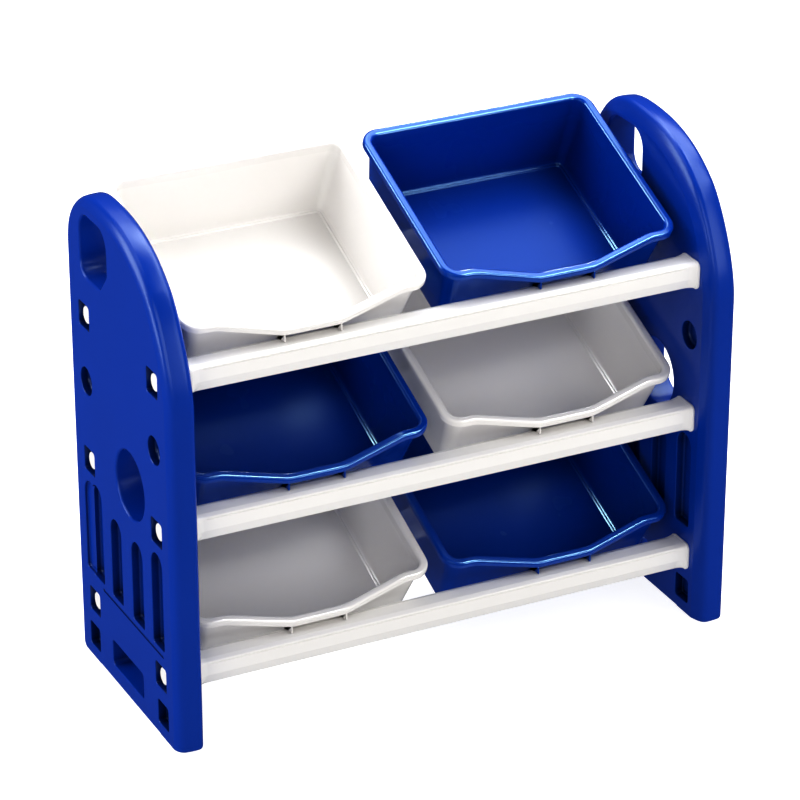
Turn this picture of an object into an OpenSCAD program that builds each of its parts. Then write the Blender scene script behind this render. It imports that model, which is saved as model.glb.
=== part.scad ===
/* [Overall] */
// Width over the outer faces of the two side panels, mm
overall_w = 722.5; // [680:0.5:760]
// Height of the side panels, mm
panel_h = 605.5; // [600:0.5:640]
// Depth of the side panels, front edge to rear edge, mm
panel_d = 287.5; // [285:0.5:300]
// Thickness of one side panel, mm
panel_t = 37.5; // [36:0.5:42]
// Wall of the hollow side panels, mm
panel_wall = 3; // [2:0.25:4]

/* [Rails] */
// Distance of the front rails behind the panel's front edge, mm
rail_front_y = 47.5; // [46:0.5:50]
// Distance of the rear rails behind the panel's front edge, mm
rail_rear_y = 245.6; // [243:0.2:248]
// Height of the bottom rails above the floor, mm
rail_low_z = 79; // [76:1:82]
// Height from one tier to the next, mm
tier_pitch = 186; // [184:1:188]
// Wall of the hollow rails, mm
rail_wall = 2.5; // [2:0.25:3]
// Width of the square flange at a rail's end, front to back, mm
flange_w = 40; // [38:1:44]
// Height of the square flange at a rail's end, mm
flange_h = 35; // [34:1:38]
// Length of the flare between the flange and the plain rail, mm
flare_len = 12; // [8:1:16]

/* [Push bolts] */
// Diameter of a push bolt's round head, mm
head_d = 21.6; // [18:0.2:24]
// Depth of the head's face below the panel's outer face, mm
head_sunk = 3.5; // [2:0.5:5]
// Diameter of a push bolt's shank, mm
shank_d = 11.9; // [11:0.1:11.9]
// Length of a push bolt's shank, mm
shank_len = 45.5; // [40:0.5:50]

/* [Bins] */
// Slope of the bins, lower at the front, degrees
bin_tilt = 22; // [21.9:0.1:22.1]
// Width of a bin over its rim, mm
bin_w = 305; // [300:1:306]
// Length of a bin over its rim, along the slope, mm
bin_l = 254; // [250:1:256]
// Depth of a bin from the rim's underside to the outside of its floor, mm
bin_h = 91.6; // [90:0.1:91.6]
// Width of the thick rim, mm
lip_w = 11; // [9:0.5:12]
// Height of the thick rim, mm
lip_h = 8.5; // [7:0.5:9]
// Distance of the outer wall in from the rim's edge, mm
wall_in = 8.5; // [7:0.5:8.5]
// Wall of a bin, mm
bin_wall = 2.5; // [2:0.25:3]
// Radius of the rim's corners in plan, mm
bin_r = 24; // [22:1:27]
// How far the middle of the front rim bows forward, mm
bow_out = 15.5; // [12:0.5:16]
// How far the middle of the front rim dips, mm
bow_down = 13; // [10:0.5:13]
// Half width of the flat middle of the front rim, mm
bow_flat = 35; // [30:1:45]
// Half width at which the front rim starts to dip, mm
bow_start = 115.5; // [105:0.5:120]
// Gap between the two bins of a tier, mm
bin_gap = 18; // [14:0.5:20]

/* [Hidden] */

blue = [0.03, 0.14, 0.66];
white = [0.93, 0.93, 0.92];

clear_w = overall_w - 2*panel_t;             // between the panels' inner faces
rail_z = [rail_low_z, rail_low_z + tier_pitch, rail_low_z + 2*tier_pitch];
seat = 12;                                   // depth of the pocket that seats a bolt head
play = [0, -1, -3.5];                        // sideways play taken up by each tier of bins

// Where a bin's rim plane stands: its front corner, measured from the front rail's axis.
rim_y = 7.5;
rim_z = 42.5;
floor_s0 = 20;                               // front of the bin's floor, along the slope
floor_s1 = bin_l - 18;                       // rear of the bin's floor, along the slope
floor_x = bin_w/2 - 20;                      // half width of the bin's floor

// The rearmost point of the object is the bins' lower rear edge.
bin_back = rail_front_y + rim_y + (floor_s1 + (bin_l - wall_in - floor_s1)*4/bin_h)*cos(bin_tilt)
         + (bin_h - 4)*sin(bin_tilt);
mid_y = bin_back/2;

// Everything is drawn with x = 0 midway between the panels, y = 0 on the panels' front edge
// and z = 0 on the floor, and then moved so that the origin is under the middle of the whole.
module place() { translate([0, -mid_y, 0]) children(); }

// ---------------------------------------------------------------- small functions
function unit(v) = v/norm(v);
function sum(v, i = 0) = i == len(v) ? 0 : v[i] + sum(v, i + 1);
function bez(p, t) = pow(1-t,3)*p[0] + 3*t*pow(1-t,2)*p[1] + 3*t*t*(1-t)*p[2] + pow(t,3)*p[3];
function bez_dir(p, t) = unit(3*pow(1-t,2)*(p[1]-p[0]) + 6*t*(1-t)*(p[2]-p[1]) + 3*t*t*(p[3]-p[2]));
// a point of the curve moved inwards, to the left of the way it runs
function bez_in(p, t, d) = let (u = bez_dir(p, t)) bez(p, t) + d*[-u[1], u[0]];
function arc(c, r, a0, a1, n) = [for (i = [0:n]) c + r*[cos(a0 + (a1-a0)*i/n), sin(a0 + (a1-a0)*i/n)]];
// the round that replaces corner b of the path a-b-c
function round_at(a, b, c, r, n) =
    let (u = unit(a-b), v = unit(c-b), h = acos(u*v)/2,
         o = b + unit(u+v)*r/sin(h), p = b + u*r/tan(h), q = b + v*r/tan(h),
         a0 = atan2(p[1]-o[1], p[0]-o[0]), a1 = atan2(q[1]-o[1], q[0]-o[0]),
         da = ((a1 - a0 + 540) % 360) - 180)
    arc(o, r, a0, a0 + da, n);
function round_poly(p, r, n = 6) =
    [for (i = [0:len(p)-1])
        for (q = round_at(p[(i+len(p)-1) % len(p)], p[i], p[(i+1) % len(p)], r[i], n)) q];
function box_poly(w, h, r) = round_poly([[-w/2,-h/2],[w/2,-h/2],[w/2,h/2],[-w/2,h/2]], [r,r,r,r], 4);
// a convex outline that runs counter-clockwise, moved inwards by d
function shrink(p, d) =
    [for (i = [0:len(p)-1])
        let (u = unit(p[i] - p[(i+len(p)-1) % len(p)]), v = unit(p[(i+1) % len(p)] - p[i]),
             a = [-u[1], u[0]], b = [-v[1], v[0]])
        p[i] + d*(a+b)/(1 + a*b)];

// A closed skin over a stack of rings, each with the same number of points. The rings run
// counter-clockwise as seen against the way the stack goes. A fan round its middle closes
// each end.
module skin(rings) {
    n = len(rings[0]); m = len(rings);
    mid = [for (r = [rings[0], rings[m-1]]) [for (j = [0:2]) sum([for (p = r) p[j]])/n]];
    polyhedron(
        points = concat([for (r = rings) for (p = r) p], mid),
        faces = concat(
            [for (i = [0:n-1]) [m*n, i, (i+1) % n]],
            [for (k = [0:m-2]) for (i = [0:n-1])
                let (a = k*n + i, b = k*n + (i+1) % n) each [[a, a+n, b], [b, a+n, b+n]]],
            [for (i = [0:n-1]) [m*n + 1, (m-1)*n + (i+1) % n, (m-1)*n + i]]));
}

// ---------------------------------------------------------------- side panel
// Outline of the panel as seen from its side: (depth, height).
top_rear = [[panel_d, 529], [panel_d, 572], [264, 605.5], [208, 605.5]];
top_mid = [[208, 605.5], [147, 605.5], [102, 593], [60, 556.5]];
top_front = [[60, 556.5], [39.4, 538.6], [0, 474], [0, 422]];
function lift(p) = [for (q = p) [q[0], q[1] + panel_h - 605.5]];
function ease(t) = t*t*(3 - 2*t);
// The outline of one slice: the front and the top lie d inside the crest of the rounded edge,
// the rear and the bottom only e, and the two run into each other over the rear shoulder.
// Nothing of it lies lower than z0.
function panel_ring(d, e, z0) =
    [for (q = concat(
        [for (i = [0:8]) bez_in(lift(top_rear), i/8, e + (d - e)*ease(i/8))],
        [for (i = [1:10]) bez_in(lift(top_mid), i/10, d)],
        [for (i = [1:8]) bez_in(lift(top_front), i/8, d)],
        arc([d + 5, e + 5], 5, 180, 270, 4),
        arc([panel_d - e - 8, e + 8], 8, 270, 360, 5))) [q[0], max(q[1], z0)]];
// The front and top edge: (distance from the outer face, how far it lies inside the crest).
edge = [[0, 14.2], [1, 10.6], [3, 6], [5, 3.4], [9, 1.3], [13, 0.6], [20, 0], [26, 0.3], [31, 3],
        [panel_t - 3, 10.6], [panel_t - 1, 16.5], [panel_t, 20]];
edge_in = [[panel_wall, 17], [5, 9.5], [9, 5.5], [13, 4], [24, 3.5], [30.5, 9],
           [panel_t - panel_wall - 0.5, 18.5]];
// The rear and the bottom edge are only a small round.
edge_r = 3;
function small_round(x) =
    let (u = min(x, panel_t - x)) u < edge_r ? edge_r - sqrt(edge_r*edge_r - pow(edge_r - u, 2)) : 0;
module panel_solid() {
    skin([for (e = edge) [for (q = panel_ring(e[1], small_round(e[0]), 0)) [e[0], q[0], q[1]]]]);
}
module panel_hollow() {
    skin([for (e = edge_in) [for (q = panel_ring(e[1], panel_wall, 2*panel_wall)) [e[0], q[0], q[1]]]]);
}
// A prism across the panel, from x0 to x1, over an outline drawn as (depth, height).
module across(x0, x1) { translate([x0, 0, 0]) rotate([90, 0, 90]) linear_extrude(x1 - x0) children(); }

slots = [[50, 32, 237], [108.5, 33, 222], [171, 32, 222], [228.5, 33, 240]];
slot_z = 117;
slot_depth = 10.5;
dimple_r = 17;
dimple_z = 368;
hole = [122.5, 290];
hole_r = 41.7;
rail_y = [rail_front_y, rail_rear_y];
low_pocket = [43.75, 248.75];
handle = [[171, 580], [171, 529], [194, 503], [251, 503], [251, 580]];
handle_r = [22, 12, 12, 20, 24];
low_slot = [101, 194, 21, 54];

module slot_shape(s, g) {
    w = s[1] + 2*g; top = s[2] + g - w/2;
    translate([s[0] - w/2, slot_z - g]) square([w, top - slot_z + g]);
    translate([s[0], top]) circle(d = w, $fn = 32);
}
module low_slot_shape(g) {
    translate([(low_slot[0]+low_slot[1])/2, (low_slot[2]+low_slot[3])/2])
        polygon(box_poly(low_slot[1]-low_slot[0]+2*g, low_slot[3]-low_slot[2]+2*g, 5));
}
module handle_shape(g) { polygon(shrink(round_poly(handle, handle_r), -g)); }

// Material that stays round every pocket and hole in the hollow panel.
module panel_ties() {
    g = panel_wall; t = panel_t;
    for (y = rail_y, z = rail_z) {
        across(0, seat + g) translate([y, z]) square([31 + 2*g, 30.6 + 2*g], center = true);
        across(0, t) translate([y, z]) circle(r = 6.2 + g, $fn = 48);
    }
    for (y = low_pocket) {
        across(0, 11 + g) translate([y, 30.25]) square(30 + 2*g, center = true);
        across(t - 11 - g, t) translate([y, 30.25]) square(30 + 2*g, center = true);
    }
    for (y = rail_y) {
        across(0, slot_depth + g) translate([y, dimple_z]) circle(r = dimple_r + g, $fn = 48);
        across(t - slot_depth - g, t) translate([y, dimple_z]) circle(r = dimple_r + g, $fn = 48);
    }
    for (s = slots) {
        across(0, slot_depth + g) slot_shape(s, g);
        across(t - slot_depth - g, t) slot_shape(s, g);
    }
    across(0, 4 + g) translate([240, slot_z - g]) square([26 + g, 118 + 2*g]);
    across(0, t) translate(hole) circle(r = hole_r + g, $fn = 96);
    across(0, t) low_slot_shape(g);
    across(0, t) handle_shape(g);
}

module panel_cuts() {
    t = panel_t; e = 1;
    for (y = rail_y, z = rail_z) {
        across(-e, seat) translate([y, z]) polygon(box_poly(31, 30.6, 3.5));
        translate([0, y, z]) rotate([0, 90, 0]) cylinder(r = 6.2, h = t + e, $fn = 48);
    }
    for (y = low_pocket) {
        across(-e, 11) translate([y, 30.25]) polygon(box_poly(30, 30.5, 3.5));
        across(t - 11, t + e) translate([y, 30.25]) polygon(box_poly(30, 30.5, 3.5));
    }
    for (y = rail_y) {
        translate([-e, y, dimple_z]) rotate([0, 90, 0]) cylinder(r = dimple_r, h = slot_depth + e, $fn = 64);
        translate([t - slot_depth, y, dimple_z]) rotate([0, 90, 0])
            cylinder(r = dimple_r, h = slot_depth + e, $fn = 64);
    }
    for (s = slots) {
        across(-e, slot_depth) slot_shape(s, 0);
        across(t - slot_depth, t + e) slot_shape(s, 0);
    }
    // shallow step beside the rearmost slot
    across(-e, 4) translate([240, slot_z]) square([26, 118]);
    // line between the foot and the slots
    across(-e, 1.4) translate([37, 107.5]) square([180, 3.5]);
    translate([-e, hole[0], hole[1]]) rotate([0, 90, 0]) cylinder(r = hole_r, h = t + 2*e, $fn = 96);
    for (x = [0, t - 3])
        translate([x, hole[0], hole[1]]) rotate([0, 90, 0])
            cylinder(r1 = x == 0 ? hole_r + 3 : hole_r, r2 = x == 0 ? hole_r : hole_r + 3, h = 3, $fn = 96);
    across(-e, t + e) low_slot_shape(0);
    across(-e, t + e) handle_shape(0);
    // the bottom edge stands on a front and a rear foot
    translate([-e, 50, -e]) cube([t + 2*e, 186, 2.6]);
}

// The panel as the left one, with its outer face at x = 0.
module panel() {
    difference() {
        panel_solid();
        difference() {
            panel_hollow();
            panel_ties();
        }
        panel_cuts();
    }
}
module panel_left() { color(blue) place() translate([-overall_w/2, 0, 0]) panel(); }
module panel_right() { color(blue) place() mirror([1, 0, 0]) translate([-overall_w/2, 0, 0]) panel(); }

// ---------------------------------------------------------------- cross rails
// Section of a rail: (depth, height) from its axis.
rail_sec = [[-9.5, -16.6], [9.5, -16.6], [16, -3], [16, 13], [15, 14.3], [9, 16],
            [-9, 16], [-15, 14.3], [-16, 13], [-16, -3]];
// Outline that the rail's inside is drawn in from, with plain corners.
rail_in = [[-9.5, -16.6], [9.5, -16.6], [16, -3], [16, 13.6], [9, 16], [-9, 16], [-16, 13.6],
           [-16, -3]];
socket_r = 6;
socket_len = 28;
module rail_end() {
    across(0, 3) polygon(box_poly(flange_w, flange_h, 7));
    hull() {
        across(1, 2.6) polygon(box_poly(flange_w - 0.8, flange_h - 0.8, 7));
        across(3 + flare_len, 4 + flare_len) polygon(shrink(rail_sec, 0.4));
    }
}
// A rail with its axis on the origin, centred between the panels.
module rail() {
    l = clear_w;
    difference() {
        union() {
            across(-l/2 + 1, l/2 - 1) polygon(rail_sec);
            for (m = [0, 1]) mirror([m, 0, 0]) translate([-l/2, 0, 0]) rail_end();
        }
        // hollow, with a sleeve round each socket
        difference() {
            across(-l/2 + 3, l/2 - 3) polygon(shrink(rail_in, rail_wall));
            for (m = [0, 1]) mirror([m, 0, 0])
                across(-l/2, -l/2 + socket_len + 3) circle(r = socket_r + 3, $fn = 48);
        }
        for (m = [0, 1]) mirror([m, 0, 0]) {
            translate([-l/2 - 1, 0, 0]) rotate([0, 90, 0])
                cylinder(r = socket_r, h = socket_len + 1, $fn = 48);
            // slit in the flange
            for (s = [-1, 1]) translate([-l/2 + 2, s > 0 ? 15.6 : -18.6, -2.6]) cube([7, 3, 1.6]);
        }
        // bead line along the front and the back of the top
        for (s = [-1, 1]) translate([-l/2 + 17, s*16 - 0.6, 11.4]) cube([l - 34, 1.2, 0.9]);
    }
}
module rail_at(y, tier) { color(white) place() translate([0, y, rail_z[tier]]) rail(); }
module rail_top_front() { rail_at(rail_front_y, 2); }
module rail_top_rear() { rail_at(rail_rear_y, 2); }
module rail_mid_front() { rail_at(rail_front_y, 1); }
module rail_mid_rear() { rail_at(rail_rear_y, 1); }
module rail_bottom_front() { rail_at(rail_front_y, 0); }
module rail_bottom_rear() { rail_at(rail_rear_y, 0); }

// ---------------------------------------------------------------- push bolts
// A push bolt along +X, with its head's underside on the seat of the pocket.
module push_bolt() {
    rotate([0, 90, 0]) rotate_extrude($fn = 64)
        polygon([[0, head_sunk - seat], [head_d/2 - 1.6, head_sunk - seat],
                 [head_d/2 - 0.5, head_sunk - seat + 0.4], [head_d/2, head_sunk - seat + 1.5],
                 [head_d/2, 0], [shank_d/2, 0], [shank_d/2, shank_len - 2],
                 [shank_d/2 - 1.5, shank_len], [0, shank_len]]);
}
module bolts() {
    for (y = rail_y, z = rail_z) translate([-overall_w/2 + seat, y, z]) push_bolt();
}
module bolts_left() { color(white) place() bolts(); }
module bolts_right() { color(white) place() mirror([1, 0, 0]) bolts(); }

// ---------------------------------------------------------------- bins
// How far along its dip the front rim is at half width x: 0 at the corners, 1 in the middle.
function dip(x) = let (a = abs(x)) a >= bow_start ? 0 : a <= bow_flat ? 1
    : (bow_start - a)/(bow_start - bow_flat);
// One ring round the bin: half width, front, rear, corner radius, height, share of the dip that
// the front takes, and the squeeze of the front's own points.
function bin_ring(hx, s0, s1, r, n, w, k = 1) =
    concat(
        [for (x = [-bow_start, -(bow_start+bow_flat)/2, -bow_flat, 0, bow_flat,
                   (bow_start+bow_flat)/2, bow_start])
            [x*k, s0 - w*bow_out*dip(x), n - w*bow_down*dip(x)]],
        [for (q = arc([hx - r, s0 + r], r, 270, 360, 6)) [q[0], q[1], n]],
        [for (q = arc([hx - r, s1 - r], r, 0, 90, 6)) [q[0], q[1], n]],
        [for (q = arc([-hx + r, s1 - r], r, 90, 180, 6)) [q[0], q[1], n]],
        [for (q = arc([-hx + r, s0 + r], r, 180, 270, 6)) [q[0], q[1], n]]);
// A ring of the rim, inset by d from the rim's outer edge.
function rim_ring(d, n) = bin_ring(bin_w/2 - d, d, bin_l - d, bin_r - d, n, 1, 1 - d/1000);
// A ring of the walls, h above the floor's outside; g is the wall that lies outside it.
function wall_ring(g, h, w) =
    let (t = h/bin_h, top = wall_in + g)
    bin_ring((floor_x - g)*(1-t) + (bin_w/2 - top)*t,
             (floor_s0 + g)*(1-t) + top*t, (floor_s1 - g)*(1-t) + (bin_l - top)*t,
             (22 - g)*(1-t) + (bin_r - top)*t, h - bin_h, w, 0.9*(1-t) + 0.99*t);
// A ring at the foot of the walls, drawn in by e for the round edge of the floor.
function foot_ring(g, h, e) =
    bin_ring(floor_x - g - e, floor_s0 + g + e, floor_s1 - g - e, 22 - g - e/2, h - bin_h, 0, 0.9 - e/110);

module bin_shell() {
    g = bin_wall;
    skin([
        foot_ring(0, 0, 4), foot_ring(0, 1.2, 1.2), wall_ring(0, 4, 0.04), wall_ring(0, bin_h, 1),
        rim_ring(0.7, 0), rim_ring(0, 0.8), rim_ring(0, lip_h - 3), rim_ring(0.9, lip_h - 0.9),
        rim_ring(3, lip_h), rim_ring(lip_w - 3, lip_h), rim_ring(lip_w - 0.9, lip_h - 0.9),
        rim_ring(lip_w, lip_h - 3),
        wall_ring(g, g + 4.2, 0.05), foot_ring(g, g + 1.3, 1.2), foot_ring(g, g, 4)]);
}
// Locating rib under the front rim: it stands on the front rail and hooks behind it. Drawn as
// (depth, height) from the front rail's axis.
module rib() {
    across(-1, 1) polygon([[-2, 16.3], [17.5, 16.3], [17.5, 4], [27.6, 4], [6.9, 28.6], [-2, 25.4]]);
}
module bin() {
    translate([0, rim_y, rim_z]) rotate([bin_tilt, 0, 0]) bin_shell();
    for (x = [-bow_flat, bow_flat]) translate([x, 0, 0]) rib();
}
module bin_at(side, tier, c) {
    color(c) place()
        translate([side*(bin_w + bin_gap)/2 + play[tier], rail_front_y, rail_z[tier]]) bin();
}
module bin_top_left() { bin_at(-1, 2, white); }
module bin_top_right() { bin_at(1, 2, blue); }
module bin_mid_left() { bin_at(-1, 1, blue); }
module bin_mid_right() { bin_at(1, 1, white); }
module bin_bottom_left() { bin_at(-1, 0, white); }
module bin_bottom_right() { bin_at(1, 0, blue); }

panel_left();
panel_right();
rail_top_front();
rail_top_rear();
rail_mid_front();
rail_mid_rear();
rail_bottom_front();
rail_bottom_rear();
bolts_left();
bolts_right();
bin_top_left();
bin_top_right();
bin_mid_left();
bin_mid_right();
bin_bottom_left();
bin_bottom_right();
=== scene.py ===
import math
import bpy
import bmesh
import numpy as np
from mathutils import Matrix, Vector


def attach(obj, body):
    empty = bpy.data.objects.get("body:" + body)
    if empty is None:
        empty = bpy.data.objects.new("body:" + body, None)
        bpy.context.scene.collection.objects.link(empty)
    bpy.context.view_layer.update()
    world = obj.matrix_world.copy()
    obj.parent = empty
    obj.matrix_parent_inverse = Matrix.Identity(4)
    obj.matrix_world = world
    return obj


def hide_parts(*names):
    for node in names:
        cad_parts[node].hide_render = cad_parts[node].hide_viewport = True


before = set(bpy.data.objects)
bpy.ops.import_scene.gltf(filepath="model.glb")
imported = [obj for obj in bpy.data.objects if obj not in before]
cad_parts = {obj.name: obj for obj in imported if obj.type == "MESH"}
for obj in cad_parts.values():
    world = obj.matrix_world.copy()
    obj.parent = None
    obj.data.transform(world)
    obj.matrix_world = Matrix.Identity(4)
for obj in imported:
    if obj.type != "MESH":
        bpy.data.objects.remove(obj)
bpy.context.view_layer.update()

# ------------------------------------------------------------------ dimensions, mm
# x = 0 midway between the panels, y = 0 at the panels' front edge, z = 0 on the floor
W_ALL, T, D_PAN = 722.5, 37.5, 287.5
TILT = math.radians(22.0)
BIN_W, BIN_L, BIN_H = 305.0, 254.0, 91.6
LIP_W, LIP_H, WALL_IN, WALL = 11.0, 8.5, 8.5, 2.5
BIN_R, BOW_OUT, BOW_DOWN, BOW_FLAT, BOW_START = 24.0, 15.5, 13.0, 35.0, 115.5
RAIL_Y = (47.5, 245.6)
RAIL_Z = (79.0, 265.0, 451.0)
PLAY = (0.0, -1.0, -3.5)
FLOOR_S0, FLOOR_S1, FLOOR_X = 20.0, BIN_L - 18.0, BIN_W / 2 - 20.0
MID_Y = (47.5 + 7.5 + (FLOOR_S1 + (BIN_L - WALL_IN - FLOOR_S1) * 4 / BIN_H) * math.cos(TILT)
         + (BIN_H - 4) * math.sin(TILT)) / 2


def row(p):
    """mm in the drawing frame to metres in the row frame"""
    p = np.asarray(p, float)
    return np.stack([p[..., 0], p[..., 1] - MID_Y, p[..., 2]], -1) / 1000.0


def make(name, verts, faces, mat=None, collection=None):
    me = bpy.data.meshes.new(name)
    me.from_pydata([tuple(v) for v in verts], [], [tuple(f) for f in faces])
    me.validate()
    me.update()
    ob = bpy.data.objects.new(name, me)
    bpy.context.scene.collection.objects.link(ob)
    if mat is not None:
        me.materials.append(mat)
    return ob


def skin(rings, cap0=True, cap1=True, start=0):
    """Faces of a stack of closed rings, counter-clockwise as seen against the stack."""
    m, n = len(rings), len(rings[0])
    faces = []
    for k in range(m - 1):
        for i in range(n):
            a, b = start + k * n + i, start + k * n + (i + 1) % n
            faces.append((a, b, b + n, a + n))
    if cap0:
        faces.append(tuple(start + i for i in range(n - 1, -1, -1)))
    if cap1:
        faces.append(tuple(start + (m - 1) * n + i for i in range(n)))
    return faces


def arc(c, r, a0, a1, n):
    a = np.radians(np.linspace(a0, a1, n + 1))
    return np.stack([c[0] + r * np.cos(a), c[1] + r * np.sin(a)], -1)


def chaikin(p, times):
    p = np.asarray(p, float)
    for _ in range(times):
        q = [p[0]]
        for a, b in zip(p[:-1], p[1:]):
            q += [a * 0.75 + b * 0.25, a * 0.25 + b * 0.75]
        q.append(p[-1])
        p = np.array(q)
    return p


def smooth_by_angle(ob, deg):
    """Smooth shading, with the edges over the angle kept sharp."""
    me = ob.data
    bm = bmesh.new()
    bm.from_mesh(me)
    for f in bm.faces:
        f.smooth = True
    lim = math.radians(deg)
    for e in bm.edges:
        e.smooth = not (len(e.link_faces) == 2 and e.calc_face_angle(0.0) > lim)
    bm.to_mesh(me)
    bm.free()
    w = ob.modifiers.new("weighted", "WEIGHTED_NORMAL")
    w.mode = "FACE_AREA"
    w.weight = 50
    w.keep_sharp = True


def plane_normals(ob, deg):
    """Smooth shading in which the big flat faces keep their own normal right up to their rims,
    and edges over the angle stay sharp."""
    me = ob.data
    nf, nl = len(me.polygons), len(me.loops)
    fn = np.zeros(nf * 3)
    me.polygons.foreach_get("normal", fn)
    fn = fn.reshape(-1, 3)
    ar = np.zeros(nf)
    me.polygons.foreach_get("area", ar)
    flat = np.abs(fn[:, 0]) > 0.99995
    wt = np.where(flat, 1e3, ar + 1e-12)
    tot = np.zeros(nf, int)
    me.polygons.foreach_get("loop_total", tot)
    lf = np.repeat(np.arange(nf), tot)
    lv = np.zeros(nl, int)
    me.loops.foreach_get("vertex_index", lv)
    order = np.argsort(lv, kind="stable")
    cut = np.flatnonzero(np.diff(lv[order])) + 1
    lim = math.cos(math.radians(deg))
    out = np.zeros((nl, 3))
    for grp in np.split(order, cut):
        f = lf[grp]
        n = fn[f]
        near = (n @ n.T) > lim
        v = (near * wt[f][None, :]) @ n
        v /= np.maximum(np.linalg.norm(v, axis=1, keepdims=True), 1e-20)
        out[grp] = v
    me.polygons.foreach_set("use_smooth", np.ones(nf, bool))
    me.normals_split_custom_set([tuple(v) for v in out])


# ------------------------------------------------------------------ materials
def plastic(name, colour, dark, rough, rough_var, bump_scale, bump, coat=0.0, sss=0.0,
            speck=0.0, mottling=6.0, coat_rough=0.08, spec=0.5, cavity_shade=None, inside=None, tint=None):
    """Moulded plastic: slow colour drift, pale specks, cloudy gloss and fine orange peel, and
    optionally painted shade darkening its cavities.
    """
    m = bpy.data.materials.new(name)
    m.use_nodes = True
    nt = m.node_tree
    nd, ln = nt.nodes, nt.links
    nd.clear()
    out = nd.new("ShaderNodeOutputMaterial")
    bs = nd.new("ShaderNodeBsdfPrincipled")
    ln.new(bs.outputs["BSDF"], out.inputs["Surface"])
    tc = nd.new("ShaderNodeTexCoord")

    def noise(scale, detail, rough_, dist=0.0):
        n = nd.new("ShaderNodeTexNoise")
        n.inputs["Scale"].default_value = scale
        n.inputs["Detail"].default_value = detail
        n.inputs["Roughness"].default_value = rough_
        n.inputs["Distortion"].default_value = dist
        ln.new(tc.outputs["Object"], n.inputs["Vector"])
        return n

    def ramp(src, lo, hi, a, b):
        r = nd.new("ShaderNodeMapRange")
        r.inputs["From Min"].default_value = lo
        r.inputs["From Max"].default_value = hi
        r.inputs["To Min"].default_value = a
        r.inputs["To Max"].default_value = b
        ln.new(src, r.inputs["Value"])
        return r.outputs["Result"]

    def mix(fac, a, b):
        x = nd.new("ShaderNodeMix")
        x.data_type = "RGBA"
        for s, v in (("Factor", fac), ("A", a), ("B", b)):
            sock = [i for i in x.inputs if i.name == s and i.enabled][0]
            if hasattr(v, "is_output"):
                ln.new(v, sock)
            elif isinstance(v, float):
                sock.default_value = v
            else:
                sock.default_value = (*v, 1.0)
        return [o for o in x.outputs if o.enabled][0]

    drift = noise(mottling, 2.0, 0.5)
    col = mix(ramp(drift.outputs["Fac"], 0.0, 1.0, 0.0, 1.0), dark, colour)
    if speck:
        sp = noise(420.0, 2.0, 0.6)
        pale = tuple(min(1.0, c * 1.25 + 0.01) for c in colour)
        col = mix(ramp(sp.outputs["Fac"], 0.62, 0.8, 0.0, speck), col, pale)
    if cavity_shade:
        # painted shade: ambient occlusion darkens the base colour in deep corners and pockets, where
        # shade falls, so they read duller than the open faces
        reach, lo, hi, deep = cavity_shade
        ao = nd.new("ShaderNodeAmbientOcclusion")
        ao.inputs["Distance"].default_value = reach
        ao.only_local = True
        ao.samples = 12
        shade = ramp(ao.outputs["AO"], lo, hi, 0.0, 1.0)
        col = mix(shade, tuple(c * deep for c in dark), col)
    ln.new(col, bs.inputs["Base Color"])

    cloud = noise(14.0, 2.0, 0.5)
    gloss = ramp(cloud.outputs["Fac"], 0.0, 1.0, rough - rough_var, rough + rough_var)
    if inside:
        # the mould's inner faces are duller than the rim: (roughness factor, specular level)
        at = nd.new("ShaderNodeAttribute")
        at.attribute_type = "GEOMETRY"
        at.attribute_name = "sheen"
        mul = nd.new("ShaderNodeMath")
        mul.operation = "MULTIPLY"
        ln.new(gloss, mul.inputs[0])
        ln.new(ramp(at.outputs["Fac"], 0.0, 1.0, inside[0], 1.0), mul.inputs[1])
        gloss = mul.outputs["Value"]
        ln.new(ramp(at.outputs["Fac"], 0.0, 1.0, inside[1], spec),
               bs.inputs["Specular IOR Level"])
    ln.new(gloss, bs.inputs["Roughness"])

    peel = noise(bump_scale, 2.0, 0.5)
    fine = noise(bump_scale * 5.0, 2.0, 0.55)
    b1 = nd.new("ShaderNodeBump")
    b1.inputs["Strength"].default_value = bump
    b1.inputs["Distance"].default_value = 0.0006
    ln.new(peel.outputs["Fac"], b1.inputs["Height"])
    b2 = nd.new("ShaderNodeBump")
    b2.inputs["Strength"].default_value = bump * 0.6
    b2.inputs["Distance"].default_value = 0.00008
    ln.new(fine.outputs["Fac"], b2.inputs["Height"])
    ln.new(b1.outputs["Normal"], b2.inputs["Normal"])
    ln.new(b2.outputs["Normal"], bs.inputs["Normal"])
    bs.inputs["IOR"].default_value = 1.5
    if not inside:
        bs.inputs["Specular IOR Level"].default_value = spec
    if tint:
        bs.inputs["Specular Tint"].default_value = (*tint, 1.0)
    if coat:
        bs.inputs["Coat Weight"].default_value = coat
        bs.inputs["Coat Roughness"].default_value = coat_rough
    if sss:
        bs.inputs["Subsurface Weight"].default_value = sss
        bs.inputs["Subsurface Radius"].default_value = (0.012, 0.011, 0.010)
        bs.inputs["Subsurface Scale"].default_value = 0.5
    return m


BLUE, BLUE_D = (0.0004, 0.050, 0.390), (0.0004, 0.045, 0.350)
BIN_BLUE, BIN_BLUE_D = (0.0004, 0.051, 0.380), (0.0004, 0.046, 0.345)
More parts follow.
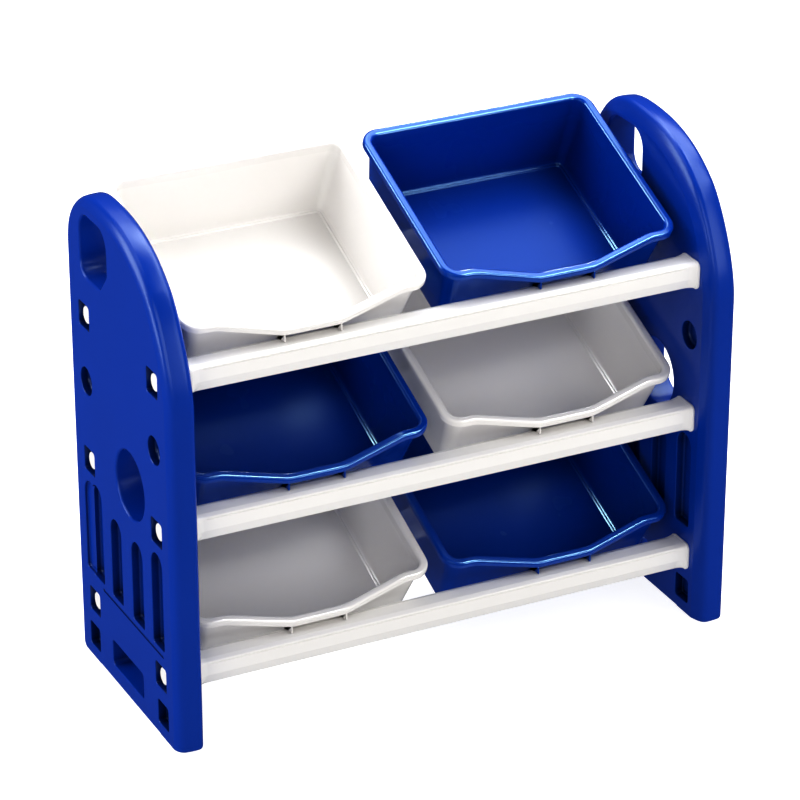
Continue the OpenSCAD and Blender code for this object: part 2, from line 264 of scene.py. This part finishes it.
# the panels and blue bins carry painted shade: ambient occlusion darkens their base colour in pockets
# and corners
M_PANEL = plastic("panel_blue", BLUE, BLUE_D, 0.25, 0.03, 300.0, 0.03, speck=0.03, spec=0.5,
                  cavity_shade=(0.030, 0.40, 0.95, 0.12), tint=(0.75, 0.93, 1.0))
M_BBIN = plastic("bin_blue", BIN_BLUE, BIN_BLUE_D, 0.14, 0.02, 300.0, 0.015, speck=0.02,
                 spec=0.6, cavity_shade=(0.09, 0.2, 0.85, 0.50), inside=(2.0, 0.09), tint=(0.45, 0.86, 1.0))
M_WBIN = plastic("bin_white", (0.865, 0.852, 0.835), (0.847, 0.834, 0.817), 0.18, 0.02, 300.0,
                 0.015, spec=0.5, inside=(1.8, 0.2))
M_RAIL = plastic("rail_white", (0.90, 0.89, 0.875), (0.882, 0.872, 0.857), 0.22, 0.02, 300.0,
                 0.02, spec=0.4)
M_BOLT = plastic("bolt_white", (0.85, 0.84, 0.825), (0.83, 0.82, 0.805), 0.24, 0.03, 500.0, 0.02,
                 spec=0.45, mottling=60.0)


# ------------------------------------------------------------------ side panels
# the front and top edge, between its creases: (distance from the outer face, how far inside
# the crest)
BEVEL_OUT = [(0, 14.2), (0.55, 11.9), (1.6, 9.0), (3.0, 6.2), (4.8, 3.9), (6.8, 2.3), (9, 1.25)]
CREST = [(9, 1.25), (13, 0.62), (18, 0.2), (23, 0.0), (26, 0.2)]
BEVEL_IN = [(26, 0.2), (28.6, 1.0), (31.2, 3.2), (33.4, 7.4), (35.4, 13.0), (37.5, 20)]
TOP = ([(D_PAN, 529), (D_PAN, 572), (264, 605.5), (208, 605.5)],
       [(208, 605.5), (147, 605.5), (102, 593), (60, 556.5)],
       [(60, 556.5), (39.4, 538.6), (0, 474), (0, 422)])


def bez_in(p, t, d):
    p = np.asarray(p, float)
    t = np.asarray(t, float)[:, None]
    q = ((1 - t) ** 3 * p[0] + 3 * t * (1 - t) ** 2 * p[1] + 3 * t * t * (1 - t) * p[2]
         + t ** 3 * p[3])
    u = (3 * (1 - t) ** 2 * (p[1] - p[0]) + 6 * t * (1 - t) * (p[2] - p[1])
         + 3 * t * t * (p[3] - p[2]))
    u /= np.linalg.norm(u, axis=1, keepdims=True)
    return q + np.asarray(d) * np.stack([-u[:, 1], u[:, 0]], -1)


def edge_profile():
    """Slices of the panel: (x, inset of front and top, of the rear, of the bottom)."""
    pts = []
    for k, part in enumerate((BEVEL_OUT, CREST, BEVEL_IN)):
        q = chaikin(part, 2)
        if k == 0:
            q[-1] = q[-1] * 0.6 + q[-2] * 0.4
        if k == 1:
            q[0] = q[0] * 0.6 + q[1] * 0.4
            q = q[:-1]
        pts.append(q)
    pts = np.concatenate(pts)
    more = [x for x in (0.12, 0.3, 0.6, 1.2, 2.0, 3.0)]
    xs = sorted(set([round(v, 4) for v in pts[:, 0]] + more + [T - v for v in more]))
    keep = [xs[0]]
    for x in xs[1:-1]:
        if x - keep[-1] > 0.1 and xs[-1] - x > 0.1:
            keep.append(x)
    keep.append(xs[-1])
    rows = []
    for x in keep:
        u = min(x, T - x)
        rear = 3.0 - math.sqrt(9.0 - (3.0 - u) ** 2) if u < 3.0 else 0.0
        low = 1.2 - math.sqrt(1.44 - (1.2 - u) ** 2) if u < 1.2 else 0.0
        rows.append((x, float(np.interp(x, pts[:, 0], pts[:, 1])), rear, low))
    return rows


def panel_ring(d, e, low):
    """Outline of one slice. The inset of the front runs into that of the rear over the rear
    shoulder."""
    t = np.linspace(0, 1, 27)
    k = t * t * (3 - 2 * t)
    q = np.concatenate([
        bez_in(TOP[0], t, (e + (d - e) * k)[:, None]),
        bez_in(TOP[1], np.linspace(0, 1, 25)[1:], d),
        bez_in(TOP[2], np.linspace(0, 1, 25)[1:], d),
        [(d, z) for z in (380, 330, 280, 230, 180, 130, 80, 40)],
        arc((d + 3, low + 3), 3, 180, 270, 6),
        [(y, low) for y in (70, 120, 170, 220)],
        arc((D_PAN - e - 8, low + 8), 8, 270, 360, 8),
        [(D_PAN - e, z) for z in (60, 120, 180, 240, 300, 360, 420, 480)]])
    return q


def rrect(cx, cy, w, h, r, n=6):
    def at(o):
        a, b, k = w / 2 + o, h / 2 + o, max(r + o, 0.5)
        return np.concatenate([arc((cx + a - k, cy + b - k), k, 0, 90, n),
                               arc((cx - a + k, cy + b - k), k, 90, 180, n),
                               arc((cx - a + k, cy - b + k), k, 180, 270, n),
                               arc((cx + a - k, cy - b + k), k, 270, 360, n)])
    return at


def disc(cx, cy, r, n):
    def at(o):
        return arc((cx, cy), r + o, 0, 360 * (n - 1) / n, n - 1)
    return at


def arch(cx, w, z0, z1, r=4.0):
    def at(o):
        a, k = w / 2 + o, max(r + o, 0.5)
        return np.concatenate([arc((cx, z1 - w / 2), a, 0, 180, 24),
                               arc((cx - a + k, z0 - o + k), k, 180, 270, 5),
                               arc((cx + a - k, z0 - o + k), k, 270, 360, 5)])
    return at


def rpoly(pts, radii, n=9):
    """Convex counter-clockwise polygon with rounded corners, grown by o."""
    pts = np.asarray(pts, float)

    def at(o):
        out = []
        k = len(pts)
        for i in range(k):
            a, b, c = pts[i - 1], pts[i], pts[(i + 1) % k]
            u, v = (b - a) / np.linalg.norm(b - a), (c - b) / np.linalg.norm(c - b)
            nu, nv = np.array([u[1], -u[0]]), np.array([v[1], -v[0]])
            bo = b + o * (nu + nv) / (1 + nu @ nv)
            r = max(radii[i] + o, 0.5)
            half = math.acos(max(-1, min(1, -(u @ v)))) / 2
            bis = (v - u) / np.linalg.norm(v - u)
            ctr = bo + bis * r / math.sin(half)
            a0 = math.degrees(math.atan2(nu[1], nu[0]))
            a1 = math.degrees(math.atan2(nv[1], nv[0]))
            if a1 < a0:
                a1 += 360
            out.append(arc(ctr, r, a0, a1, n))
        return np.concatenate(out)
    return at


def pocket_rings(shape, depth, rm, rb, draft=2.0):
    """Cutter for a blind pocket, as (depth, ring) from outside to inside: rounded mouth, a
    slightly drafted wall, and a rounded floor."""
    rows = [(-1.2, rm * (1 - math.sin(math.radians(12))) + 1.2 / math.tan(math.radians(14)))]
    for a in (12, 26, 40, 54, 68, 80, 90):
        f = math.radians(a)
        rows.append((rm * (1 - math.cos(f)), rm * (1 - math.sin(f))))
    tan = math.tan(math.radians(draft))
    off = -(depth - rb - rm) * tan
    for a in (0, 18, 36, 54, 72, 90):
        f = math.radians(a)
        rows.append((depth - rb + rb * math.sin(f), off - rb + rb * math.cos(f)))
    return [(x, shape(o)) for x, o in rows]


def through_rings(shape, t, rm):
    rows = [(-1.2, rm * (1 - math.sin(math.radians(12))) + 1.2 / math.tan(math.radians(14)))]
    for a in (12, 26, 40, 54, 68, 80, 90):
        f = math.radians(a)
        rows.append((rm * (1 - math.cos(f)), rm * (1 - math.sin(f))))
    rows += [(t - x, o) for x, o in reversed(rows)]
    return [(x, shape(o)) for x, o in rows]


def cutter_mesh(stacks):
    """Joins cutters given in panel coordinates (x from the outer face, y, z)."""
    verts, faces = [], []
    for stack, flip in stacks:
        rings = []
        for x, q in stack:
            xx = T - x if flip else x
            rings.append(np.c_[np.full(len(q), xx), q])
        if flip:
            rings = rings[::-1]
        f = skin(rings, start=len(verts))
        faces += f
        verts += [tuple(v) for r in rings for v in r]
    return np.array(verts), faces


def boolean(target, verts, faces, name):
    cut = make(name, verts, faces)
    bm = bmesh.new()
    bm.from_mesh(cut.data)
    bmesh.ops.recalc_face_normals(bm, faces=bm.faces)
    bm.to_mesh(cut.data)
    bm.free()
    mod = target.modifiers.new("cut", "BOOLEAN")
    mod.operation = "DIFFERENCE"
    mod.solver = "MANIFOLD"
    mod.object = cut
    dg = bpy.context.evaluated_depsgraph_get()
    new = bpy.data.meshes.new_from_object(target.evaluated_get(dg))
    target.modifiers.clear()
    old = target.data
    target.data = new
    bpy.data.meshes.remove(old)
    me = cut.data
    bpy.data.objects.remove(cut)
    bpy.data.meshes.remove(me)


HANDLE = rpoly([(171, 580), (171, 529), (194, 503), (251, 503), (251, 580)],
               [22, 12, 12, 20, 24])


def build_panel(name, side):
    rings = []
    for x, d, e, low in edge_profile():
        q = panel_ring(d, e, low)
        rings.append(np.c_[np.full(len(q), x), q])
    verts = np.concatenate(rings)
    ob = make(name, verts, skin(rings))
    outer, inner = False, True
    st = []
    for y in RAIL_Y:
        for z in RAIL_Z:
            st.append((pocket_rings(rrect(y, z, 31, 30.6, 3.5), 12.0, 1.2, 1.4, 1.0), outer))
    for y in (43.75, 248.75):
        for f in (outer, inner):
            st.append((pocket_rings(rrect(y, 30.25, 30, 30.5, 3.5), 11.0, 1.2, 1.6, 2.0), f))
    for y in RAIL_Y:
        for f in (outer, inner):
            st.append((pocket_rings(disc(y, 368, 17, 56), 10.5, 1.3, 3.0, 3.0), f))
    for cx, w, top in ((50, 32, 237), (108.5, 33, 222), (171, 32, 222), (228.5, 33, 240)):
        for f in (outer, inner):
            st.append((pocket_rings(arch(cx, w, 117, top), 10.5, 1.3, 2.6, 3.0), f))
    st.append((through_rings(disc(122.5, 290, 41.7, 96), T, 3.0), outer))
    st.append((through_rings(rrect(147.5, 37.5, 93, 33, 5.0), T, 1.6), outer))
    st.append((through_rings(HANDLE, T, 3.0), outer))
    v, f = cutter_mesh(st)
    boolean(ob, v, f, name + "_cut")
    st = [(pocket_rings(arch(248, 34, 118, 236), 4.0, 1.6, 2.0, 3.0), outer),
          (pocket_rings(rrect(127, 109.2, 180, 3.4, 1.6), 1.5, 0.6, 0.6, 3.0), outer)]
    v, f = cutter_mesh(st)
    boolean(ob, v, f, name + "_cut")
    # relief of the bottom edge between the front and the rear foot
    q = rpoly([(50, -3), (236, -3), (233, 1.6), (53, 1.6)], [0.5, 0.5, 0.8, 0.8], 4)(0)
    v, f = cutter_mesh([([(-1.0, q), (T + 1.0, q)], False)])
    boolean(ob, v, f, name + "_cut")
    me = ob.data
    co = np.zeros(len(me.vertices) * 3)
    me.vertices.foreach_get("co", co)
    co = co.reshape(-1, 3)
    co[:, 0] = side * (W_ALL / 2 - co[:, 0])
    me.vertices.foreach_set("co", row(co).astype(np.float32).ravel())
    bm = bmesh.new()
    bm.from_mesh(me)
    bmesh.ops.remove_doubles(bm, verts=bm.verts, dist=2e-6)
    bmesh.ops.recalc_face_normals(bm, faces=bm.faces)
    bm.to_mesh(me)
    bm.free()
    me.materials.clear()
    me.materials.append(M_PANEL)
    plane_normals(ob, 48)
    return ob


for nm, sd in (("left", -1), ("right", 1)):
    p = build_panel("side_panel_" + nm, sd)
    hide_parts("panel_" + nm)
    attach(p, "frame")


# ------------------------------------------------------------------ rails
SEC = [(-9.5, -16.6), (9.5, -16.6), (16, -3.0), (16, 13), (15, 14.3), (9, 16), (-9, 16), (-15, 14.3),
       (-16, 13), (-16, -3.0)]
SEC_R = [2.2, 2.2, 1.2, 0.8, 0.8, 3.0, 3.0, 0.8, 0.8, 1.2]


def rail_section():
    """The rail's section as points with rounded corners, split finely along its edges."""
    q = rpoly(SEC, SEC_R, 3)(0)
    out = []
    for a, b in zip(q, np.roll(q, -1, 0)):
        n = max(1, int(np.linalg.norm(b - a) / 1.6))
        cuts = [k / n for k in range(n)]
        if abs(a[0]) > 15.9 and abs(b[0]) > 15.9 and abs(b[1] - a[1]) > 5:
            for z in (10.9, 11.1, 11.25, 11.9, 12.55, 12.7):
                cuts.append((z - a[1]) / (b[1] - a[1]))
        out += [a + (b - a) * k for k in sorted(cuts)]
    return np.array(out)


def radius_at(poly, ang):
    """Distance from the origin to a closed outline along each angle."""
    res = []
    for a in ang:
        d = np.array([math.cos(a), math.sin(a)])
        best = 0
        for p, q in zip(poly, np.roll(poly, -1, 0)):
            e = q - p
            den = d[0] * e[1] - d[1] * e[0]
            if abs(den) < 1e-9:
                continue
            t = (p[0] * e[1] - p[1] * e[0]) / den
            s = (p[0] * d[1] - p[1] * d[0]) / den
            if t > 0 and -1e-6 <= s <= 1 + 1e-6:
                best = max(best, t)
        res.append(best)
    return np.array(res)


def build_rail(name, y, z):
    sec = rail_section()
    ang = np.arctan2(sec[:, 1], sec[:, 0])
    rs = np.linalg.norm(sec, axis=1)
    flange = rrect(0, 0, 40, 35, 7, 8)(0)
    rf = radius_at(flange, ang)
    unit = np.stack([np.cos(ang), np.sin(ang)], -1)
    # bead line: a thin groove low on the shoulder, front and back
    groove = np.zeros(len(sec))
    for i, p in enumerate(sec):
        if abs(p[0]) > 15.2:
            groove[i] = 1.0 if 11.2 < p[1] < 12.6 else 0.0
    half = (W_ALL - 2 * T) / 2
    rows = []

    def ring(x, t, inset, g):
        r = rs * (1 - t) + rf * t - inset
        q = unit * r[:, None]
        q[:, 0] -= np.sign(q[:, 0]) * groove * g
        rows.append(np.c_[np.full(len(q), x), q[:, 0] + y, q[:, 1] + z])

    # a flat end plate, then a short flare that meets the plain section at a crease
    ends = [(0.0, 1, 0.9, 0), (0.25, 1, 0.3, 0), (0.9, 1, 0, 0), (2.6, 1, 0, 0), (3.1, 1, 0.2, 0),
            (3.4, 0.97, 0.7, 0), (3.6, 0.80, 0.4, 0)]
    for k in range(9):
        u = k / 8
        ends.append((4.2 + 9.8 * u, 0.72 * (1 - u) ** 1.25, 0.0, 0))
    ends += [(14.6, 0, 0, 0), (17.0, 0, 0, 0), (18.2, 0, 0, 1)]
    for x, t, i_, g in ends:
        ring(-half + x, t, i_, g)
    for x in np.linspace(-half + 60, half - 60, 9):
        ring(x, 0, 0, 1)
    for x, t, i_, g in reversed(ends):
        ring(half - x, t, i_, g)
    verts = row(np.concatenate(rows))
    ob = make(name, verts, skin(rows), M_RAIL)
    bm = bmesh.new()
    bm.from_mesh(ob.data)
    bmesh.ops.recalc_face_normals(bm, faces=bm.faces)
    bm.to_mesh(ob.data)
    bm.free()
    smooth_by_angle(ob, 40)
    return ob


for ti, tn in enumerate(("bottom", "mid", "top")):
    for yi, yn in enumerate(("front", "rear")):
        r = build_rail("cross_rail_%s_%s" % (tn, yn), RAIL_Y[yi], RAIL_Z[ti])
        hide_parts("rail_%s_%s" % (tn, yn))
        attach(r, "frame")


# ------------------------------------------------------------------ bins
def dip(x, soft=9.0):
    """Share of the front rim's dip at half width x, with rounded bends."""
    x = np.abs(np.asarray(x, float))

    def raw(v):
        return np.clip((BOW_START - v) / (BOW_START - BOW_FLAT), 0, 1)
    tot, wsum = 0, 0
    for k in np.linspace(-1, 1, 21):
        w = 1 - k * k
        tot = tot + w * raw(np.abs(x + k * soft))
        wsum += w
    return tot / wsum


NF = 56      # steps across the front
NC = 10      # steps round each corner


def bin_ring(hx, s0, s1, r, n, w, k):
    xf = np.linspace(-(hx - r), hx - r, NF + 1)[1:-1]
    dd = dip(xf / k)
    front = np.c_[xf, s0 - w * BOW_OUT * dd, n - w * BOW_DOWN * dd]

    def corner(cx, cs, a0, a1):
        q = arc((cx, cs), r, a0, a1, NC)
        return np.c_[q, np.full(len(q), n)]

    def side(a, b, m):
        t = np.linspace(0, 1, m + 1)[1:-1, None]
        return a + (b - a) * t
    c1 = corner(hx - r, s0 + r, 270, 360)
    c2 = corner(hx - r, s1 - r, 0, 90)
    c3 = corner(-hx + r, s1 - r, 90, 180)
    c4 = corner(-hx + r, s0 + r, 180, 270)
    return np.concatenate([front, c1, side(c1[-1], c2[0], 8), c2, side(c2[-1], c3[0], 8), c3,
                           side(c3[-1], c4[0], 8), c4])


def rim_ring(d, n):
    return bin_ring(BIN_W / 2 - d, d, BIN_L - d, BIN_R - d, n, 1.0, 1 - d / 1000)


def foot_r(g):
    """Radius of a bin's corners in plan at its foot: outside, then inside."""
    return 9.0 if g else 14.0


def wall_ring(g, h, w=None):
    t = h / BIN_H
    top = WALL_IN + g
    return bin_ring((FLOOR_X - g) * (1 - t) + (BIN_W / 2 - top) * t,
                    (FLOOR_S0 + g) * (1 - t) + top * t,
                    (FLOOR_S1 - g) * (1 - t) + (BIN_L - top) * t,
                    foot_r(g) * (1 - t) + (BIN_R - top) * t, h - BIN_H,
                    t if w is None else w, 0.9 * (1 - t) + 0.99 * t)


def foot_ring(g, h, e):
    return bin_ring(FLOOR_X - g - e, FLOOR_S0 + g + e, FLOOR_S1 - g - e, foot_r(g) - e,
                    h - BIN_H, 0.0, 0.9)


def bin_rings():
    rows = []
    g = WALL
    R = 3.9
    for a in (0, 15, 30, 45, 60, 75):           # outside foot
        f = math.radians(a)
        rows.append(foot_ring(0, R * (1 - math.cos(f)), R * (1 - math.sin(f))))
    for h in (R + 0.8, 10, 20, 32, 46, 60, 74, 86, BIN_H - 2.2):
        rows.append(wall_ring(0, h))
    # small fillet between wall and rim
    rows.append(rim_ring(WALL_IN - 0.3, -0.7))
    rows.append(rim_ring(WALL_IN - 1.2, 0.0))
    rows.append(rim_ring(1.3, 0.0))
    ro = 3.4
    for a in (55, 30, 0):
        f = math.radians(a)
        rows.append(rim_ring(1.0 - 1.0 * math.cos(f), 1.0 - 1.0 * math.sin(f)))
    for a in (0, 15, 30, 45, 60, 75, 90):        # outer top edge
        f = math.radians(a)
        rows.append(rim_ring(ro - ro * math.cos(f), LIP_H - ro + ro * math.sin(f)))
    ri = 4.2
    for a in (90, 75, 60, 45, 30, 15, 0):        # inner top edge
        f = math.radians(a)
        rows.append(rim_ring(LIP_W - ri + ri * math.cos(f), LIP_H - ri + ri * math.sin(f)))
    for h in (BIN_H - 1, 84, 72, 58, 44, 30, 18, g + 9.0, g + 5.0):
        rows.append(wall_ring(g, h, (h / BIN_H) * min(1.0, (h - g) / 12.0)))
    # the floor's edge: a narrow tread between two small chamfers
    for e, up in ((0.0, 3.0), (0.1, 2.9), (1.2, 1.68), (1.3, 1.62), (2.9, 1.52), (3.0, 1.47),
                  (4.25, 0.08), (4.4, 0.0)):
        rows.append(foot_ring(g, g + up, e))
    return rows


BIN_RINGS = bin_rings()
SHEEN = ([1.0] * 35 + [0.5, 0.12, 0.04, 0.0, 0.0, 0.0, 0.0, 0.0, 0.0]
         + [1.0] * (len(BIN_RINGS) - 45) + [0.15])


def build_bin(name, side, tier, mat):
    rings = BIN_RINGS
    flat = np.concatenate(rings)
    y = flat[:, 1] * math.cos(TILT) - flat[:, 2] * math.sin(TILT) + 7.5
    z = flat[:, 1] * math.sin(TILT) + flat[:, 2] * math.cos(TILT) + 42.5
    verts = [np.c_[flat[:, 0], y, z]]
    faces = skin(rings)
    base = len(flat)
    # locating ribs, with softened edges
    for xr in (-BOW_FLAT, BOW_FLAT):
        rr = []
        for x, o in ((-1.0, -0.45), (-0.8, -0.12), (-0.5, 0.0), (0.5, 0.0), (0.8, -0.12), (1.0, -0.45)):
            q = rib_outline(o)
            rr.append(np.c_[np.full(len(q), x + xr), q])
        faces += skin(rr, start=base)
        rv = np.concatenate(rr)
        verts.append(rv)
        base += len(rv)
    v = np.concatenate(verts)
    v[:, 0] += side * (BIN_W + 18) / 2 + PLAY[tier]
    v[:, 1] += RAIL_Y[0]
    v[:, 2] += RAIL_Z[tier]
    ob = make(name, row(v), faces, mat)
    sheen = np.ones(len(v), np.float32)
    sheen[:len(flat)] = np.repeat(SHEEN, len(rings[0]))
    ob.data.attributes.new("sheen", "FLOAT", "POINT").data.foreach_set("value", sheen)
    bm = bmesh.new()
    bm.from_mesh(ob.data)
    bmesh.ops.recalc_face_normals(bm, faces=bm.faces)
    bm.to_mesh(ob.data)
    bm.free()
    smooth_by_angle(ob, 33)
    return ob


def rib_outline(o):
    """Side outline of a locating rib, counter-clockwise, grown by o."""
    p = np.array([(-1.6, 16.4), (17.6, 16.4), (17.6, 4.1), (27.4, 4.1), (6.9, 28.6), (-1.6, 25.4)])
    c = np.array([7.0, 20.0])
    k = len(p)
    out = []
    for i in range(k):
        a, b, d = p[i - 1], p[i], p[(i + 1) % k]
        u, v = (b - a) / np.linalg.norm(b - a), (d - b) / np.linalg.norm(d - b)
        nu, nv = np.array([u[1], -u[0]]), np.array([v[1], -v[0]])
        q = b + o * (nu + nv) / (1 + nu @ nv)
        r = 0.9
        out += [q - u * r, q - (u - v) * r * 0.29, q + v * r]
    return np.array(out)


rims = bpy.data.collections.new("rims")
blue_rims = bpy.data.collections.new("blue_rims")
for tier, tn in enumerate(("bottom", "mid", "top")):
    for side, sn in ((-1, "left"), (1, "right")):
        blue = (tn, sn) in (("top", "right"), ("mid", "left"), ("bottom", "right"))
        b = build_bin("toy_bin_%s_%s" % (tn, sn), side, tier, M_BBIN if blue else M_WBIN)
        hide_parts("bin_%s_%s" % (tn, sn))
        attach(b, "bin_%s_%s" % (tn, sn))
        rims.objects.link(b)
        if blue:
            blue_rims.objects.link(b)

# ------------------------------------------------------------------ push bolts stay as CAD
for n in ("bolts_left", "bolts_right"):
    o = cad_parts[n]
    o.data.materials.clear()
    o.data.materials.append(M_BOLT)
    for poly in o.data.polygons:
        poly.material_index = 0

# ------------------------------------------------------------------ floor, light, camera
floor_mat = bpy.data.materials.new("floor_pale")
floor_mat.use_nodes = True
fb = floor_mat.node_tree.nodes["Principled BSDF"]
fb.inputs["Base Color"].default_value = (0.45, 0.45, 0.45, 1)
fb.inputs["Roughness"].default_value = 0.9
fb.inputs["Emission Color"].default_value = (1, 1, 1, 1)
lp = floor_mat.node_tree.nodes.new("ShaderNodeLightPath")
glow = floor_mat.node_tree.nodes.new("ShaderNodeMapRange")
glow.inputs["To Min"].default_value = 0.50
glow.inputs["To Max"].default_value = 0.86
floor_mat.node_tree.links.new(lp.outputs["Is Camera Ray"], glow.inputs["Value"])
floor_mat.node_tree.links.new(glow.outputs["Result"], fb.inputs["Emission Strength"])
S = 14.0
fl = make("floor", [(-S, -S, 0), (S, -S, 0), (S, S, 0), (-S, S, 0)], [(0, 1, 2, 3)], floor_mat)
fl.visible_glossy = False

world = bpy.data.worlds.new("studio")
bpy.context.scene.world = world
world.use_nodes = True
bg = world.node_tree.nodes["Background"]
bg.inputs["Color"].default_value = (1.0, 1.0, 1.0, 1)
bg.inputs["Strength"].default_value = 0.116


def area(name, az, el, size, power, dist=3.0, size_y=None, colour=(1, 1, 1)):
    """Softbox aimed at the middle of the rack from an azimuth and an elevation."""
    a, e = math.radians(az), math.radians(el)
    d = Vector((math.sin(a) * math.cos(e), -math.cos(a) * math.cos(e), math.sin(e)))
    li = bpy.data.lights.new(name, "AREA")
    li.shape = "RECTANGLE"
    li.size = size
    li.size_y = size_y or size
    li.energy = power
    li.color = colour
    ob = bpy.data.objects.new(name, li)
    bpy.context.scene.collection.objects.link(ob)
    ob.location = Vector((0, 0, 0.3)) + d * dist
    ob.rotation_mode = "QUATERNION"
    ob.rotation_quaternion = (-d).to_track_quat("-Z", "Y")
    return ob


WARM, COOL = (1.0, 0.965, 0.93), (0.98, 0.99, 1.0)
area("soft_high_right", 60, 58, 1.8, 42.0, colour=COOL)
area("soft_high_back_right", 120, 58, 1.8, 52.0, colour=COOL)
area("soft_high_back", 180, 58, 1.8, 16.0)
area("soft_over_back", 160, 68, 1.4, 21.0)
area("soft_back_left", 240, 58, 1.8, 18.0)
area("soft_low_back_left", 245, 22, 1.6, 46.0)
area("soft_front_right", 30, 22, 1.6, 22.0, colour=WARM)
area("soft_front", 0, 22, 1.6, 8.0, colour=WARM)
area("soft_front_left", 315, 22, 1.6, 22.0, colour=WARM)
area("soft_right", 90, 40, 1.6, 4.0)
area("soft_low_left", 268, 6, 1.2, 14.0, size_y=0.5)
# small lamps that only draw crisp lines along the bins' rims and creases
for nm, az, el, size, w in (("glint_right", 50, 57, 0.9, 110.0), ("glint_left", 241, 36, 0.9, 60.0),
                            ("glint_back", 150, 30, 0.35, 30.0), ("glint_low", 24, 11, 0.6, 35.0)):
    lamp = area(nm, az, el, size, w)
    lamp.visible_diffuse = False
    lamp.light_linking.receiver_collection = blue_rims if nm == "glint_low" else rims

A, E = math.radians(-26.339), math.radians(25.940)
back = Vector((math.sin(A) * math.cos(E), -math.cos(A) * math.cos(E), math.sin(E)))
cam_d = bpy.data.cameras.new("camera")
cam_d.lens = 167.592
cam_d.sensor_width = 36.0
cam_d.clip_start, cam_d.clip_end = 0.05, 60.0
cam = bpy.data.objects.new("camera", cam_d)
bpy.context.scene.collection.objects.link(cam)
cam.location = ((-1388.80 - 361.25) / 1000, (-3372.65 - MID_Y) / 1000, 2.22118)
cam.rotation_mode = "QUATERNION"
cam.rotation_quaternion = (-back).to_track_quat("-Z", "Y")
bpy.context.scene.camera = cam

bpy.context.scene.view_settings.view_transform = "Standard"
bpy.context.scene.view_settings.gamma = 0.72
